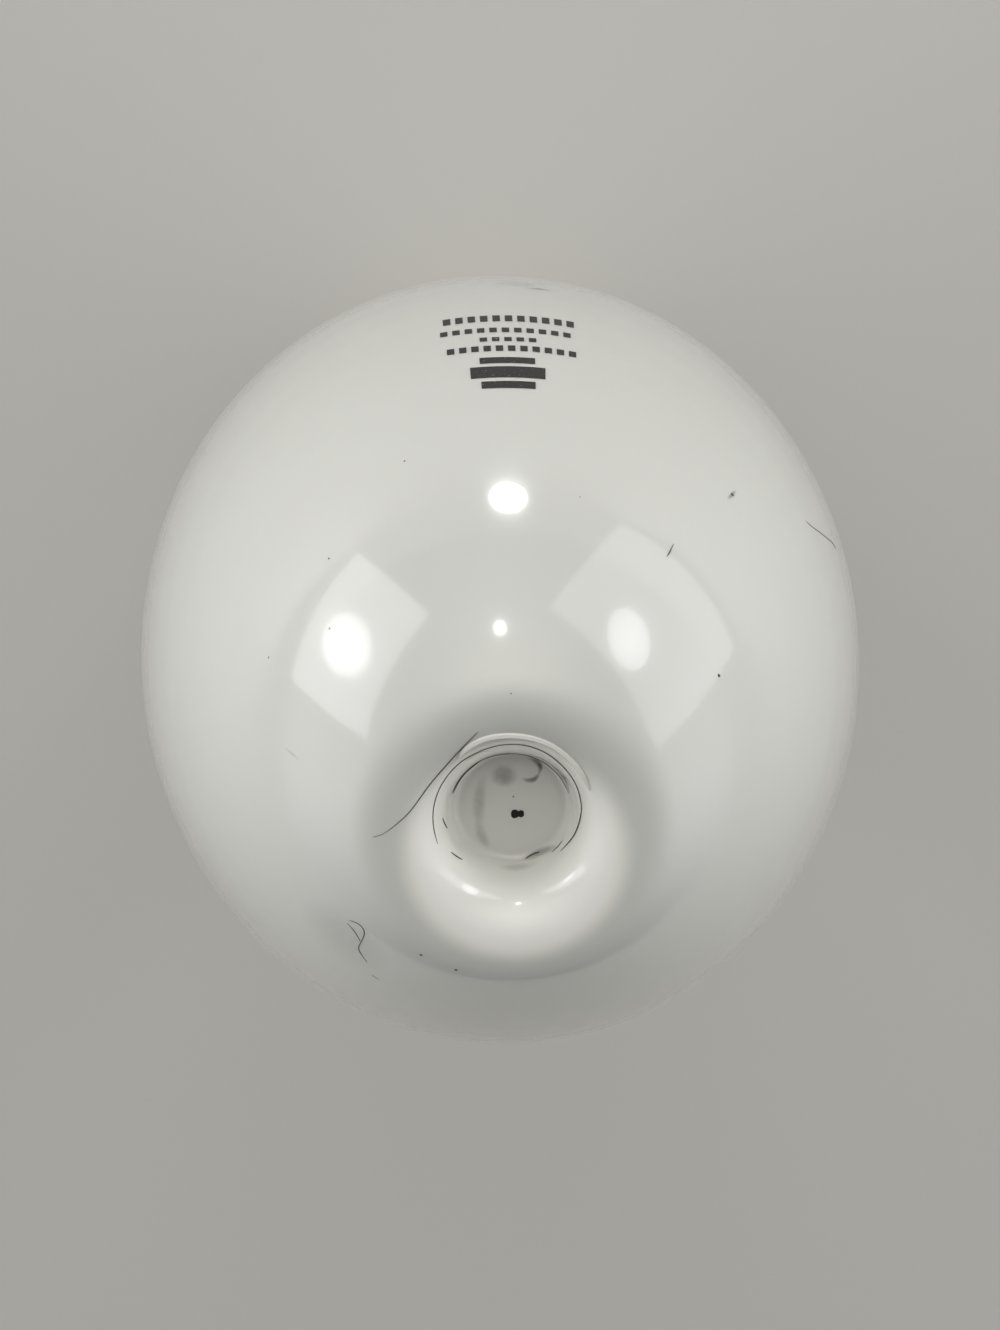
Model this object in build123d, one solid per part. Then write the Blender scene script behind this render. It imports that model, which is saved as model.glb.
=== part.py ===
"""Mercury vapour lamp: a phosphor-coated ellipsoid bulb with a dimple in its crown, on a mogul screw base.

The lamp stands on its base. The origin is the middle of the centre contact's face, and +Z runs up the axis.
The arc tube hangs in a frame of two side rods and four straps, held on the stem below and the dimple above.
Sizes are in millimetres.
"""

import os
from math import acos, cos, radians, sin, sqrt, tan

from build123d import *

# Bulb, blown in hard glass
overall_length = 211.0  # contact face to the crest of the crown
bulb_diameter = 89.0
dome_height = 78.0  # widest plane to the pole of the dome's ellipse
bulb_wall = 1.2
crest_diameter = 25.2  # highest ring of the crown, round the dimple
crown_width = 3.7  # from the crest out to where the dome's ellipse takes over
lip_bend = 6.2  # from the crest down into the dimple
dimple_lean = 76.0  # of its wall, in degrees from level
dimple_depth = 7.8  # crest to floor
dimple_corner = 1.0
neck_end_diameter = 30.8  # at the seal with the stem
neck_rim_diameter = 34.0  # where the neck leaves the base
neck_pull = 50.0  # how far the neck stays slim before it flares
bulge_pull = 38.0  # how far the bulge stays full below its widest plane

# Rolled screw shell of the mogul base
shell_bottom = 9.0
shell_length = 33.0
shell_wall = 0.4
shell_shoulder = 4.0
thread_major_diameter = 39.4
thread_depth = 1.75
thread_pitch = 6.35
ridge_width = 4.6
crest_flat = 1.2
crest_round = 1.0
collar_diameter = 38.6
collar_length = 6.5

# Insulator, contact, solder and cement of the base
insulator_foot_diameter = 14.8
insulator_mouth_diameter = 25.6
insulator_flange = 2.2
contact_diameter = 13.0
contact_thickness = 2.0
contact_edge = 0.9
contact_dish_diameter = 5.2
contact_dish_depth = 1.0
rivet_diameter = 4.0
rivet_length = 3.5
rivet_wall = 0.6
solder_plug = 1.6
solder_recess = 0.2
solder_radius = 2.0
cement_length = 10.0
cement_drop = 2.2  # cement's top below the rim of the shell

# Stem, a flared glass tube pinched shut round the two leads
seal_drop = 15.0  # rim of the shell down to the seal
stem_diameter = 16.0
stem_wall = 1.0
flare_rise = 5.0
flare_rim = 1.2
flare_bend = 5.0
stem_tube_length = 15.0
pinch_length = 7.0
stem_press_width = 15.2
stem_press_thickness = 4.8
stem_press_length = 7.0
exhaust_diameter = 4.0
exhaust_wall = 0.6
exhaust_taper = 2.5
exhaust_tip_rise = 2.0

# Lead wires through the stem
lead_diameter = 0.8
lead_spread = 7.0
lead_bend = 2.4
lead_clearance = 0.25  # to the neck, in the gap between neck and shell
shell_lead_drop = 4.5  # seal down to the level run of the shell's lead
shell_lead_rise = 7.0  # above the stem's press
contact_lead_drop = 2.0  # seal down to where the contact's lead turns in
contact_lead_run = 11.0  # height over which it comes to the axis
weld_lap = 4.0

# Support frame
rod_diameter = 1.6
rod_reach = 12.0  # axis of the lamp to the axis of a side rod
rod_tail = 1.0  # below the stem's strap
strap_wall = 0.4
strap_width = 5.0
strap_overhang = 0.5
dimple_strap_width = 3.6
dimple_strap_rise = 2.0  # its top edge above the dimple's floor
dimple_clearance = 0.3
crosswire_diameter = 1.0
crosswire_gap = 7.0  # above the arc tube
tie_diameter = 0.8
tie_drop = 2.0

# Quartz arc tube
light_centre = 127.0
arc_tube_diameter = 15.5
arc_tube_wall = 1.25
arc_body_length = 50.0
chamber_length = 56.0
chamber_taper = 4.0
flattening_length = 9.0
press_length = 12.0
press_width = 18.0
press_thickness = 3.6
press_strap_inset = 3.0
tip_off_diameter = 3.4
tip_off_point = 1.0
tip_off_rise = 2.2
tip_off_height = 9.0
mercury_diameter = 2.0

# Electrodes, sealing foils and outer leads of the arc tube
arc_length = 44.0
foil_inset = 1.0  # foil's ends from the ends of its press
foil_thickness = 0.2
foil_width = 3.0
starter_foil_width = 2.0
foil_lap = 2.0
foil_tail = 2.0
shank_diameter = 0.9
coil_diameter = 2.6
coil_length = 4.0
coil_setback = 1.0
starter_diameter = 0.5
starter_offset = 3.6
starter_setback = 2.0
arc_lead_diameter = 0.8
arc_lead_gap = 7.0  # arc tube down to the top of the contact's lead
starter_lead_diameter = 0.6
starter_lead_length = 6.0

# Starting resistor
resistor_diameter = 3.6
resistor_length = 5.2
resistor_lead_diameter = 0.6
resistor_rise = 2.0  # above the end of the starter's lead

# Radii and heights that follow from the sizes above
bulb_radius = bulb_diameter / 2
crest_radius = crest_diameter / 2
dome_radius = crest_radius + crown_width
dome_slope = dome_height * dome_radius / (bulb_radius * sqrt(bulb_radius**2 - dome_radius**2))
dome_rise = dome_height * sqrt(1 - (dome_radius / bulb_radius) ** 2)
widest_height = overall_length - dome_slope * crown_width / 2 - dome_rise
wall_lean = radians(dimple_lean)
throat_radius = crest_radius - lip_bend * sin(wall_lean)
throat_height = overall_length - lip_bend * (1 - cos(wall_lean))
dimple_floor = overall_length - dimple_depth
floor_radius = throat_radius - (throat_height - dimple_floor) / tan(wall_lean)
shell_top = shell_bottom + shell_length
thread_root_radius = thread_major_diameter / 2 - thread_depth
thread_top = shell_top - collar_length
collar_radius = collar_diameter / 2
seal_height = shell_top - seal_drop
neck_end, neck_rim = neck_end_diameter / 2, neck_rim_diameter / 2
neck_slope = (neck_rim - neck_end) / seal_drop
stem_radius = stem_diameter / 2
stem_shoulder = seal_height + stem_tube_length
stem_press_foot = stem_shoulder + pinch_length
stem_top = stem_press_foot + stem_press_length
rod_radius = rod_diameter / 2
arc_radius = arc_tube_diameter / 2
chamber_radius = arc_radius - arc_tube_wall
press_start = arc_body_length / 2 + flattening_length
press_end = press_start + press_length
arc_tube_bottom, arc_tube_top = light_centre - press_end, light_centre + press_end
contact_lead_top = arc_tube_bottom - arc_lead_gap
main_offset = -lead_spread / 2 + lead_diameter / 2 + arc_lead_diameter / 2
crosswire_height = arc_tube_top + crosswire_gap
tie_height = stem_top + shell_lead_rise - tie_drop
starter_lead_end = arc_tube_bottom - starter_lead_length
resistor_height = starter_lead_end + resistor_rise


def turned(*edges):
    """The solid swept round the axis by a closed profile, drawn with X as radius and Y as height."""
    return revolve(Plane.XZ * make_face(edges), Axis.Z)


def disc(radius, low, high):
    """A plain cylinder on the axis between two heights."""
    return post(2 * radius, 0, low, high)


def post(diameter, x, low, high):
    """A straight upright wire."""
    return Pos(x, 0, low) * Cylinder(diameter / 2, high - low, align=(Align.CENTER, Align.CENTER, Align.MIN))


def bar(diameter, left, right, height):
    """A straight level wire along X."""
    return Pos((left + right) / 2, 0, height) * Rot(0, 90, 0) * Cylinder(diameter / 2, right - left)


def bent_wire(diameter, bend, *points):
    """Round wire through points given as reach and height, with every corner bent to one radius."""
    path = FilletPolyline(*[(x, 0, z) for x, z in points], radius=bend)
    return sweep(Plane(origin=path @ 0, z_dir=path % 0) * Circle(diameter / 2), path)


def oval(centre, wide, tall, start, swing):
    """Part of an upright ellipse, from one angle in radians through another."""
    pull = 4 / 3 * tan(swing / 4)
    end = start + swing
    first = Vector(wide * cos(start), tall * sin(start))
    last = Vector(wide * cos(end), tall * sin(end))
    leave = Vector(-wide * sin(start), tall * cos(start)) * pull
    arrive = Vector(-wide * sin(end), tall * cos(end)) * pull
    return Pos(*centre) * Bezier(first, first + leave, last - arrive, last)


def bulb_skin(inset, foot):
    """The space inside the bulb's skin, moved in from the outer glass by inset and cut off level at foot."""
    wide, tall, rim = bulb_radius - inset, dome_height - inset, neck_rim - inset
    top, floor = overall_length - inset, dimple_floor - inset
    dome_edge = widest_height + tall * sqrt(1 - (dome_radius / wide) ** 2)
    slope = tall * dome_radius / (wide * sqrt(wide**2 - dome_radius**2))
    lean = Vector(neck_slope, 1).normalized() * neck_pull
    lip = CenterArc((crest_radius, overall_length - lip_bend), lip_bend - inset, 90, dimple_lean)
    corner = (floor_radius + inset * tan(wall_lean / 2), floor)
    return turned(
        Polyline((0, foot), (rim - neck_slope * (shell_top - foot), foot), (rim, shell_top)),
        Bezier(
            (rim, shell_top),
            (rim + lean.X, shell_top + lean.Y),
            (wide, widest_height - bulge_pull),
            (wide, widest_height),
        ),
        oval((0, widest_height), wide, tall, 0, acos(dome_radius / wide)),
        Bezier(
            (dome_radius, dome_edge),
            (dome_radius - (top - dome_edge) / slope, top),
            (crest_radius, top),
        ),
        lip,
        FilletPolyline(lip @ 1, corner, (0, floor), radius=dimple_corner + inset),
        Line((0, floor), (0, foot)),
    )


def shell_skin(inset):
    """The space inside the screw shell's skin, without its thread, moved in from outside by inset."""
    root, collar, low = thread_root_radius - inset, collar_radius - inset, shell_bottom + inset
    return turned(
        FilletPolyline((0, low), (root, low), (root, thread_top), radius=shell_shoulder - inset),
        Polyline(
            (root, thread_top),
            (collar, thread_top + collar - root),
            (collar, shell_top),
            (0, shell_top),
            (0, low),
        ),
    )


def screw_ridge():
    """The rolled knuckle thread's ridge, run out to nothing at both ends."""
    root, major, start = thread_root_radius, thread_major_diameter / 2, shell_bottom + shell_shoulder
    half, flat, buried = ridge_width / 2, crest_flat / 2, shell_wall / 2
    foot = half + buried * (half - flat) / thread_depth
    ridge = FilletPolyline(
        (root - buried, -foot), (major, -flat), (major, flat), (root - buried, foot), radius=crest_round
    )
    section = Plane.XZ * make_face([ridge, Line(ridge @ 1, ridge @ 0)])
    thread = sweep(section, Helix(thread_pitch, thread_top - start + ridge_width, root), is_frenet=True)
    reach = major + thread_depth
    run_out = Polyline(
        (0, start), (root, start), (reach, start + thread_pitch), (reach, thread_top - thread_pitch),
        (root, thread_top), (0, thread_top), close=True,
    )
    return Pos(0, 0, start - half) * thread & turned(run_out)


def strap(height, width, outside, inside):
    """A band round an upright piece, its two tabs lying against the side rods."""
    band = extrude(outside, width)
    tab_length = 2 * (rod_reach + rod_radius + strap_overhang)
    tabs = Box(tab_length, strap_wall, width, align=(Align.CENTER, Align.MIN, Align.MIN))
    return Pos(0, 0, height) * (band + Pos(0, rod_radius, 0) * tabs - extrude(inside, width))


# Screw base: rolled brass shell, glass insulator and riveted contact
insulator_mouth = insulator_mouth_diameter / 2
shell_floor = shell_bottom + shell_wall
shell_bore = shell_skin(shell_wall)
base_shell = shell_skin(0) + screw_ridge() - shell_bore - disc(insulator_mouth, 0, shell_floor)

rivet_radius = rivet_diameter / 2
flange_radius = thread_root_radius - shell_shoulder
base_insulator = turned(
    Polyline(
        (rivet_radius, contact_thickness),
        (insulator_foot_diameter / 2, contact_thickness),
        (insulator_mouth, shell_bottom),
        (insulator_mouth, shell_floor),
        (flange_radius, shell_floor),
        (flange_radius, shell_floor + insulator_flange),
        (rivet_radius, shell_floor + insulator_flange),
        close=True,
    )
)

contact_radius, dish_radius = contact_diameter / 2, contact_dish_diameter / 2
rivet_bore = rivet_radius - rivet_wall
rivet_top = contact_thickness + rivet_length
centre_contact = turned(
    FilletPolyline(
        (dish_radius, 0),
        (contact_radius, 0),
        (contact_radius, contact_thickness),
        radius=contact_edge,
    ),
    Polyline(
        (contact_radius, contact_thickness),
        (rivet_radius, contact_thickness),
        (rivet_radius, rivet_top),
        (rivet_bore, rivet_top),
        (rivet_bore, contact_dish_depth),
        (dish_radius, 0),
    ),
)

# Frame: two side rods, a crosswire and the straps round stem and dimple
dimple_strap_top = dimple_floor + dimple_strap_rise
clamp_height = stem_shoulder - strap_width
right_rod = post(rod_diameter, rod_reach, clamp_height - rod_tail, dimple_strap_top)
left_rod = mirror(right_rod, Plane.YZ)
crosswire = bar(crosswire_diameter, -rod_reach, rod_reach, crosswire_height) - right_rod - left_rod
stem_strap = strap(clamp_height, strap_width, Circle(stem_radius + strap_wall), Circle(stem_radius))
dimple_girth = floor_radius + dimple_strap_rise / tan(wall_lean) + bulb_wall / sin(wall_lean)
dimple_bore = dimple_girth + dimple_clearance
dimple_strap = strap(
    dimple_strap_top - dimple_strap_width,
    dimple_strap_width,
    Circle(dimple_bore + strap_wall),
    Circle(dimple_bore),
)

# Leads from the base up through the stem's press
lead_reach = lead_spread / 2
shell_lead_foot = seal_height - shell_lead_drop
gap_offset = lead_clearance + lead_diameter / 2
shell_lead = bent_wire(
    lead_diameter,
    lead_bend,
    (lead_reach, stem_top + shell_lead_rise),
    (lead_reach, shell_lead_foot),
    (neck_end - neck_slope * shell_lead_drop + gap_offset, shell_lead_foot),
    (neck_rim + gap_offset, shell_top),
)
contact_lead_turn = seal_height - contact_lead_drop
contact_lead = bent_wire(
    lead_diameter,
    lead_bend,
    (-lead_reach, contact_lead_top),
    (-lead_reach, contact_lead_turn),
    (0, contact_lead_turn - contact_lead_run),
    (0, contact_dish_depth),
)
frame_tie = bar(tie_diameter, lead_reach, rod_reach, tie_height) - shell_lead - right_rod

# Outer bulb, then the solder and cement that join it to the base
glass = bulb_skin(0, seal_height)
outer_bulb = glass - bulb_skin(bulb_wall, seal_height - bulb_wall)

solder_edge = dish_radius - (dish_radius - rivet_bore) * solder_recess / contact_dish_depth
solder_top = contact_dish_depth + solder_plug
contact_solder = turned(
    Polyline(
        (0, solder_recess),
        (solder_edge, solder_recess),
        (rivet_bore, contact_dish_depth),
        (rivet_bore, solder_top),
        (0, solder_top),
        close=True,
    )
)
contact_solder = contact_solder - contact_lead
shell_solder = Pos(collar_radius - shell_wall / 2, 0, shell_top) * Sphere(solder_radius)
shell_solder = shell_solder - base_shell - glass - shell_lead

cement_top = shell_top - cement_drop
cement_fill = shell_bore & disc(collar_radius, cement_top - cement_length, cement_top)
basing_cement = cement_fill - glass - shell_lead

# Stem with its flare, press and exhaust tube
stem_bore = stem_radius - stem_wall
flare_top = seal_height + flare_rise
stem_tube = turned(
    Line((neck_end, seal_height), (neck_end - bulb_wall, seal_height)),
    FilletPolyline(
        (neck_end - bulb_wall, seal_height),
        (stem_radius, flare_top),
        (stem_radius, stem_shoulder),
        radius=flare_bend,
    ),
    Line((stem_radius, stem_shoulder), (stem_bore, stem_shoulder)),
    FilletPolyline(
        (stem_bore, stem_shoulder),
        (stem_bore, flare_top - flare_rim),
        (neck_end, seal_height - flare_rim),
        radius=flare_bend + stem_wall,
    ),
    Line((neck_end, seal_height - flare_rim), (neck_end, seal_height)),
)
press_half, press_depth = stem_press_width / 2, stem_press_thickness / 2
press_face = Pos(0, 0, stem_press_foot) * Ellipse(press_half, press_depth)
hollow_end = Ellipse(press_half - 2 * stem_wall, press_depth - stem_wall)
hollow_end = Pos(0, 0, stem_press_foot - stem_wall) * hollow_end
pinch = loft([Pos(0, 0, stem_shoulder) * Circle(stem_radius), press_face])
hollow = loft([Pos(0, 0, stem_shoulder) * Circle(stem_bore), hollow_end])
exhaust_radius = exhaust_diameter / 2
exhaust_tip = seal_height + exhaust_tip_rise
exhaust_neck = exhaust_tip + exhaust_taper
exhaust = turned(
    Polyline(
        (0, exhaust_tip),
        (exhaust_wall, exhaust_tip),
        (exhaust_radius, exhaust_neck),
        (exhaust_radius, stem_press_foot),
        (exhaust_radius - exhaust_wall, stem_press_foot),
        (exhaust_radius - exhaust_wall, exhaust_neck),
        (0, exhaust_tip + exhaust_wall),
        close=True,
    )
)
stem_press = extrude(press_face, stem_press_length)
stem = stem_tube + (pinch - hollow) + stem_press + exhaust - shell_lead - contact_lead


def foil(offset, width, side):
    """Sealing foil in one press of the arc tube, side +1 for the upper press and -1 for the lower."""
    length = press_length - foil_inset - foil_tail
    return Pos(offset, 0, light_centre + side * (press_start + foil_inset + length / 2)) * Box(
        width, foil_thickness, length
    )


def seal_wire(diameter, offset, near, far, side):
    """Straight wire of the arc tube between two distances from the light centre, on one side of it."""
    low, high = sorted((light_centre + side * near, light_centre + side * far))
    return post(diameter, offset, low, high)


# Arc tube's metal, from the chamber out to the leads
inner_lap = press_start + foil_inset + foil_lap
outer_lap = press_end - foil_tail - foil_lap
upper_foil = foil(0, foil_width, 1)
lower_foil = foil(main_offset, foil_width, -1)
starter_foil = foil(starter_offset, starter_foil_width, -1)
coil_start = arc_length / 2 + coil_setback
main_electrodes = []
for offset, side, own_foil in ((0, 1, upper_foil), (main_offset, -1, lower_foil)):
    shank = seal_wire(shank_diameter, offset, arc_length / 2, inner_lap, side)
    coil = seal_wire(coil_diameter, offset, coil_start, coil_start + coil_length, side)
    main_electrodes.append(shank + coil - own_foil)
upper_electrode, lower_electrode = main_electrodes
starter_tip = arc_length / 2 + starter_setback
starter_electrode = seal_wire(starter_diameter, starter_offset, starter_tip, inner_lap, -1) - starter_foil
upper_arc_lead = seal_wire(arc_lead_diameter, 0, outer_lap, press_end + crosswire_gap, 1)
upper_arc_lead = upper_arc_lead - upper_foil - crosswire
lower_lead_reach = light_centre - contact_lead_top + weld_lap
lower_arc_lead = seal_wire(arc_lead_diameter, main_offset, outer_lap, lower_lead_reach, -1) - lower_foil
starter_lead_reach = press_end + starter_lead_length
starter_lead = seal_wire(starter_lead_diameter, starter_offset, outer_lap, starter_lead_reach, -1)
starter_lead = starter_lead - starter_foil

# Quartz arc tube, pinched flat at both ends round its foils
press_section = Ellipse(press_width / 2, press_thickness / 2)
quartz = Cylinder(arc_radius, arc_body_length)
for side in (1, -1):
    flat_end = Pos(0, 0, side * press_start) * press_section
    quartz = quartz + loft([Pos(0, 0, side * arc_body_length / 2) * Circle(arc_radius), flat_end])
    quartz = quartz + extrude(flat_end, press_length, dir=(0, 0, side))
tip_off_length = arc_tube_wall + tip_off_rise
tip_off = Rot(-90, 0, 0) * Cone(tip_off_diameter / 2, tip_off_point / 2, tip_off_length)
quartz = quartz + Pos(0, chamber_radius + tip_off_length / 2, tip_off_height) * tip_off
chamber_half = chamber_length / 2
chamber = turned(
    Polyline(
        (0, -chamber_half),
        (chamber_radius - chamber_taper, -chamber_half),
        (chamber_radius, chamber_taper - chamber_half),
        (chamber_radius, chamber_half - chamber_taper),
        (chamber_radius - chamber_taper, chamber_half),
        (0, chamber_half),
        close=True,
    )
)
arc_tube = Pos(0, 0, light_centre) * (quartz - chamber)
for metal in (
    upper_foil, lower_foil, starter_foil,
    upper_electrode, lower_electrode, starter_electrode,
    upper_arc_lead, lower_arc_lead, starter_lead,
):
    arc_tube = arc_tube - metal

strap_section = Ellipse(press_width / 2 + strap_wall, press_thickness / 2 + strap_wall)
upper_strap_height = arc_tube_top - press_strap_inset - strap_width
upper_strap = strap(upper_strap_height, strap_width, strap_section, press_section)
lower_strap = strap(arc_tube_bottom + press_strap_inset, strap_width, strap_section, press_section)

mercury_radius = mercury_diameter / 2
mercury_offset = (main_offset + starter_offset) / 2
mercury_bead = Pos(mercury_offset, 0, light_centre - chamber_half + mercury_radius) * Sphere(mercury_radius)

# Starting resistor, from the starter's lead to the right rod
resistor_middle = (starter_offset + rod_reach) / 2
resistor_left = resistor_middle - resistor_length / 2
resistor_right = resistor_middle + resistor_length / 2
starting_resistor = bar(resistor_diameter, resistor_left, resistor_right, resistor_height)
resistor_inner_lead = bar(resistor_lead_diameter, starter_offset, resistor_left, resistor_height)
resistor_inner_lead = resistor_inner_lead - starter_lead
resistor_outer_lead = bar(resistor_lead_diameter, resistor_right, rod_reach, resistor_height) - right_rod

nodes = {
    "base_shell": base_shell,
    "base_insulator": base_insulator,
    "centre_contact": centre_contact,
    "contact_solder": contact_solder,
    "shell_solder": shell_solder,
    "basing_cement": basing_cement,
    "outer_bulb": outer_bulb,
    "stem": stem,
    "shell_lead": shell_lead,
    "contact_lead": contact_lead,
    "frame_tie": frame_tie,
    "right_rod": right_rod,
    "left_rod": left_rod,
    "crosswire": crosswire,
    "stem_strap": stem_strap,
    "lower_strap": lower_strap,
    "upper_strap": upper_strap,
    "dimple_strap": dimple_strap,
    "arc_tube": arc_tube,
    "upper_electrode": upper_electrode,
    "lower_electrode": lower_electrode,
    "starter_electrode": starter_electrode,
    "upper_foil": upper_foil,
    "lower_foil": lower_foil,
    "starter_foil": starter_foil,
    "upper_arc_lead": upper_arc_lead,
    "lower_arc_lead": lower_arc_lead,
    "starter_lead": starter_lead,
    "mercury_bead": mercury_bead,
    "starting_resistor": starting_resistor,
    "resistor_inner_lead": resistor_inner_lead,
    "resistor_outer_lead": resistor_outer_lead,
}
os.makedirs("parts", exist_ok=True)
for name, shape in nodes.items():
    export_step(shape, f"parts/{name}.step")
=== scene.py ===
from math import acos, atan2, cos, hypot, pi, radians, sin, sqrt, tan

import bmesh
import bpy
from mathutils import Matrix, Vector, noise
from mathutils.bvhtree import BVHTree


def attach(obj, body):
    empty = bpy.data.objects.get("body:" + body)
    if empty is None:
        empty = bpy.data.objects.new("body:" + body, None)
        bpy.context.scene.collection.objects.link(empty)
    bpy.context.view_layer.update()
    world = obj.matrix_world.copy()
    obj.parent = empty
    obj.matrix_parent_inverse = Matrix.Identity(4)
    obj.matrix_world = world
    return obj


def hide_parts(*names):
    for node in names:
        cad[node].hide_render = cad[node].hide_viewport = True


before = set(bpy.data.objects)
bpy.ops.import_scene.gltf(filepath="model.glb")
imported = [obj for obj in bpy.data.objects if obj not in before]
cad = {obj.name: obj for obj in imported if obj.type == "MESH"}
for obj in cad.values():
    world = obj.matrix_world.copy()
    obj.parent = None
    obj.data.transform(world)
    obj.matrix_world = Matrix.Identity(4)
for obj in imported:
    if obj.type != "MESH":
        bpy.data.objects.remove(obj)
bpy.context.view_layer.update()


# Screw shell: thin brass drawn to a cup, nickel plated, and rolled into a round thread.
# Its plain collar takes the neck of the bulb, and its turned-in foot is fast round the glass insulator.
mm = 0.001
shell_foot, shell_rim = 9.0, 42.0
shell_wall = 0.4
shell_root, collar_radius = 17.95, 19.3
foot_opening, foot_flat = 12.8, 13.95
thread_foot, thread_head, collar_foot = 13.0, 35.5, 37.2
thread_pitch, thread_depth = 6.35, 1.75
first_crest = 10.7
run_out = 0.55
longest_row = 0.4
collar_rub = 0.45
seam_gap = 0.002
hard_edge = radians(40)


def profile(*corners):
    """Half a section of a turned piece: an edge chain through (radius, height) corners in millimetres.

    A corner that goes on with two pairs more is a curve's point, and the pairs are its two handles.
    """
    curve = bpy.data.curves.new("profile", "CURVE")
    curve.dimensions = "3D"
    spline = curve.splines.new("BEZIER")
    spline.resolution_u = 28
    spline.bezier_points.add(len(corners) - 1)
    for point, corner in zip(spline.bezier_points, corners):
        radius, height, *handles = corner
        point.co = (radius * mm, 0, height * mm)
        point.handle_left_type = point.handle_right_type = "FREE" if handles else "VECTOR"
        if handles:
            point.handle_left = (handles[0][0] * mm, 0, handles[0][1] * mm)
            point.handle_right = (handles[1][0] * mm, 0, handles[1][1] * mm)
    holder = bpy.data.objects.new("profile", curve)
    mesh = bpy.data.meshes.new_from_object(holder)
    section = bmesh.new()
    section.from_mesh(mesh)
    bpy.data.objects.remove(holder)
    bpy.data.curves.remove(curve)
    bpy.data.meshes.remove(mesh)
    return section


def turn(section, steps):
    """Spins a half section right round the lamp's axis and closes it at the seam and on the axis."""
    bmesh.ops.spin(
        section,
        geom=section.verts[:] + section.edges[:],
        cent=(0, 0, 0),
        axis=(0, 0, 1),
        angle=2 * pi,
        steps=steps,
        use_merge=True,
    )
    bmesh.ops.remove_doubles(section, verts=section.verts[:], dist=seam_gap * mm)
    bmesh.ops.recalc_face_normals(section, faces=section.faces[:])
    return section


def piece(name, shape, slot, materials, *stands_for):
    """Makes a bmesh a piece of the lamp, smooth but for hard edges, with its finish and what it replaces."""
    mesh = bpy.data.meshes.new(name)
    for face in shape.faces:
        face.smooth = True
    shape.to_mesh(mesh)
    shape.free()
    mesh.set_sharp_from_angle(angle=hard_edge)
    for material in materials:
        mesh.materials.append(material)
    made = bpy.data.objects.new(name, mesh)
    bpy.context.scene.collection.objects.link(made)
    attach(made, "root")
    if stands_for:
        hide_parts(*stands_for)
    return made


def node(tree, kind, values=None, **settings):
    """A node of a shader tree, with its settings and the values of its inputs."""
    made = tree.nodes.new(kind)
    for key, value in settings.items():
        setattr(made, key, value)
    for key, value in (values or {}).items():
        made.inputs[key].default_value = value
    return made


def finish(name, **values):
    """A material with one Principled shader, whose plain values are given by input name."""
    material = bpy.data.materials.new(name)
    material.use_nodes = True
    tree = material.node_tree
    shader = tree.nodes["Principled BSDF"]
    for key, value in values.items():
        shader.inputs[key.replace("_", " ")].default_value = value
    return material, tree, shader


def join(tree, *links):
    """Links a shader tree's sockets, each pair an output and the input that it feeds."""
    for start, end in links:
        tree.links.new(start, end)


def effect(name, inputs, outputs):
    """An empty shader group with named sockets, its inputs given with their kind and value."""
    group = bpy.data.node_groups.new(name, "ShaderNodeTree")
    for label, (kind, value) in inputs.items():
        socket = group.interface.new_socket(label, in_out="INPUT", socket_type="NodeSocket" + kind)
        socket.default_value = value
    for label, kind in outputs.items():
        group.interface.new_socket(label, in_out="OUTPUT", socket_type="NodeSocket" + kind)
    return group, node(group, "NodeGroupInput"), node(group, "NodeGroupOutput")


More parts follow.
